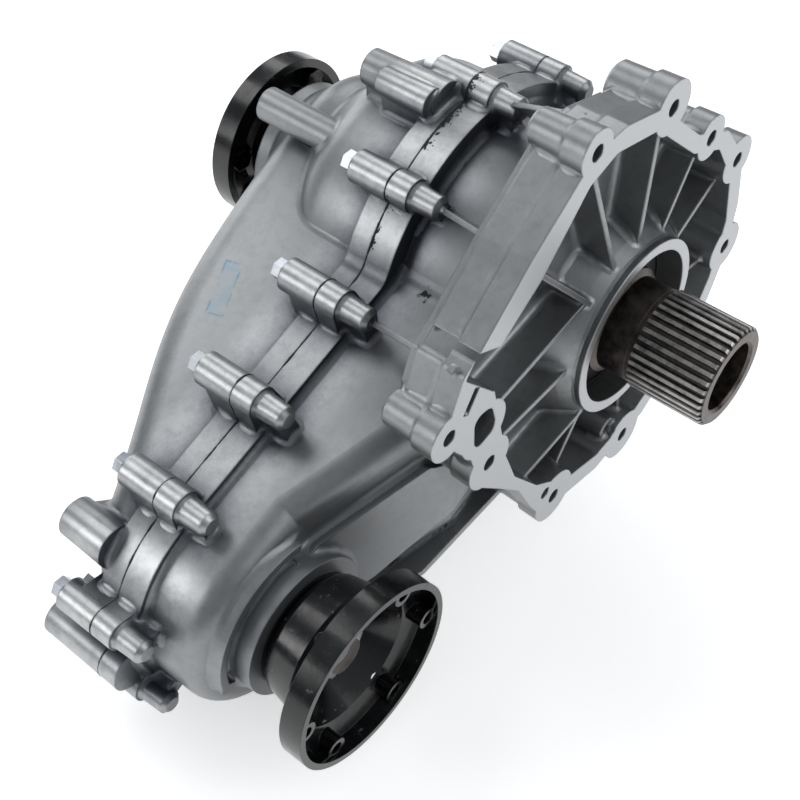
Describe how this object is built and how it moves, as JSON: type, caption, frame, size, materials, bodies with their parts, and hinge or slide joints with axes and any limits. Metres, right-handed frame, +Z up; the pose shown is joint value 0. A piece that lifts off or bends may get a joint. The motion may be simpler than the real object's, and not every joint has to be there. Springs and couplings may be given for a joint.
{
  "type": "transfer case",
  "caption": "Chain-drive transfer case with open bell, splined input, cup-shaped front flange, rear flange and planetary differential in a two-part cast case.",
  "frame": {"origin": "centre of the input ring on its machined front face", "axes": "+Z up, -Y forward towards the gearbox along the input shaft, +X to the right seen from the front"},
  "size_m": [0.3946, 0.3145, 0.3073],
  "materials": {
    "cast_aluminium": "die-cast, satin",
    "sealant": "semi-gloss",
    "zinc_steel": "bright zinc",
    "seal_rubber": "matt",
    "bearing_steel": "ground",
    "spring_steel": "phosphated",
    "chain_steel": "oiled",
    "gear_steel": "ground",
    "shaft_steel": "dark brownish, bright on the teeth",
    "black_paint": "gloss black",
    "bronze": "plain"
  },
  "bodies": {
    "housing": {"front_case": "cast_aluminium", "rear_cover": "cast_aluminium", "parting_sealant": "sealant", "case_bolts": "zinc_steel", "locating_dowels": "zinc_steel", "input_seal": "seal_rubber", "input_bearing_outer_race": "bearing_steel", "input_snap_ring": "spring_steel", "front_output_seal": "seal_rubber", "front_output_bearing_outer_race": "bearing_steel", "pilot_bearing_outer_race": "bearing_steel", "rear_output_seal": "seal_rubber", "rear_bearing_outer_race": "bearing_steel", "rear_snap_ring": "spring_steel", "drive_chain": "chain_steel"},
    "input": {"input_shaft": "shaft_steel", "input_bearing_inner_race": "bearing_steel", "input_bearing_rollers": "bearing_steel", "thrust_washer": "bronze", "planet_carrier": "gear_steel", "carrier_flange": "gear_steel", "planet_pins": "bearing_steel"},
    "front_drive": {"sun_gear": "gear_steel", "drive_sprocket": "gear_steel", "sleeve_bushes": "bronze"},
    "front_output": {"front_output_shaft": "shaft_steel", "driven_sprocket": "gear_steel", "front_flange": "black_paint", "front_flange_nut": "zinc_steel", "front_output_bearing_inner_race": "bearing_steel", "front_output_bearing_rollers": "bearing_steel", "pilot_bearing_inner_race": "bearing_steel", "pilot_bearing_rollers": "bearing_steel"},
    "rear_output": {"annulus_gear": "gear_steel", "rear_output_shaft": "shaft_steel", "tail_bush": "bronze", "rear_flange": "black_paint", "rear_flange_nut": "zinc_steel", "rear_flange_bolts": "zinc_steel", "rear_bearing_inner_race": "bearing_steel", "rear_bearing_rollers": "bearing_steel"},
    "planet_1": {"planet_gear_1": "gear_steel"},
    "planet_2": {"planet_gear_2": "gear_steel"},
    "planet_3": {"planet_gear_3": "gear_steel"}
  },
  "joints": [
    {"name": "front_drive_spin", "type": "hinge", "parent": "housing", "child": "front_drive", "pos_m": [0, 0.09, 0], "axis": [0, 1, 0], "continuous": true},
    {"name": "front_output_spin", "type": "hinge", "parent": "housing", "child": "front_output", "pos_m": [-0.21177, 0.09, -0.0725], "axis": [0, 1, 0], "continuous": true},
    {"name": "differential_spin", "type": "hinge", "parent": "front_drive", "child": "input", "pos_m": [0, 0.1, 0], "axis": [0, 1, 0], "continuous": true},
    {"name": "rear_output_spin", "type": "hinge", "parent": "front_drive", "child": "rear_output", "pos_m": [0, 0.15, 0], "axis": [0, 1, 0], "continuous": true},
    {"name": "planet_1_spin", "type": "hinge", "parent": "input", "child": "planet_1", "pos_m": [0.042, 0.123, 0], "axis": [0, 1, 0], "continuous": true},
    {"name": "planet_2_spin", "type": "hinge", "parent": "input", "child": "planet_2", "pos_m": [-0.021, 0.123, 0.03637], "axis": [0, 1, 0], "continuous": true},
    {"name": "planet_3_spin", "type": "hinge", "parent": "input", "child": "planet_3", "pos_m": [-0.021, 0.123, -0.03637], "axis": [0, 1, 0], "continuous": true}
  ],
  "couplings": [
    {"joint": "front_output_spin", "follows": "front_drive_spin", "ratio": 1},
    {"joint": "rear_output_spin", "follows": "differential_spin", "ratio": 1.4},
    {"joint": "planet_1_spin", "follows": "differential_spin", "ratio": 1.3333},
    {"joint": "planet_2_spin", "follows": "differential_spin", "ratio": 1.3333},
    {"joint": "planet_3_spin", "follows": "differential_spin", "ratio": 1.3333}
  ]
}
